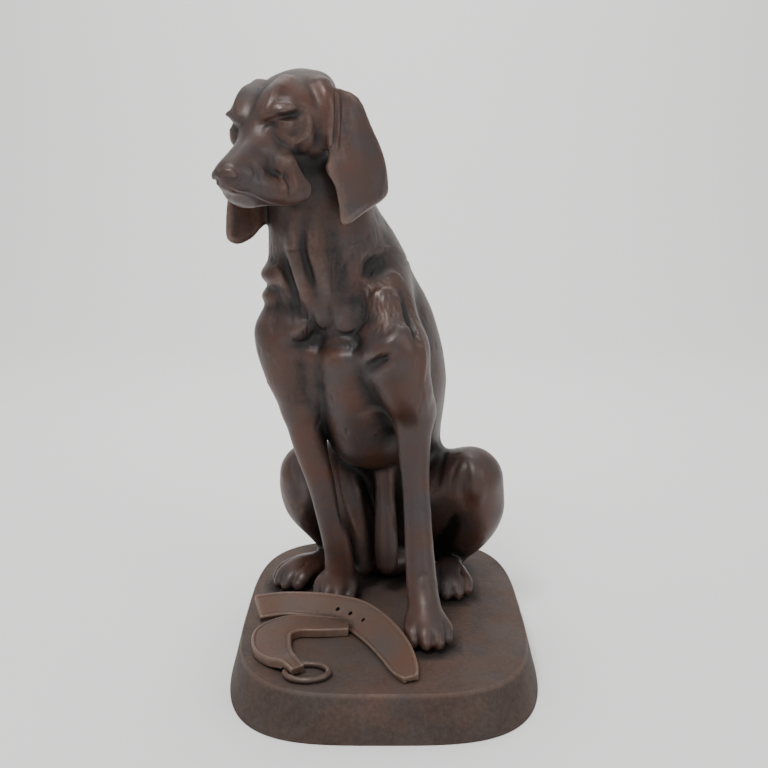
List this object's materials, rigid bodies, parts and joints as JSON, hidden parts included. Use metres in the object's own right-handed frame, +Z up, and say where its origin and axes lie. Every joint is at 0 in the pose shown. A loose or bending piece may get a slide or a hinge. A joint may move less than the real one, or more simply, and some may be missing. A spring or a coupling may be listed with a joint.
{
  "type": "cast iron dog statue",
  "caption": "Seated long-eared hound in cast iron with its head turned aside, on a rounded rectangular plinth, its collar and ring laid in front of its paws.",
  "frame": {"origin": "middle of the plinth's underside", "axes": "+Z up, the dog faces -Y, +X is the dog's left side"},
  "size_m": [0.494, 0.674, 0.9439],
  "materials": {
    "cast_iron": "cast and burnished, dark brown with reddish and grey-green areas",
    "plinth_iron": "as cast, dull brown with fine pits",
    "collar_iron": "as cast, dull brown",
    "ring_iron": "as cast, dull brown"
  },
  "bodies": {
    "root": {"plinth": "plinth_iron", "hound": "cast_iron", "collar_strap": "collar_iron", "collar_ring": "ring_iron"}
  },
  "joints": []
}
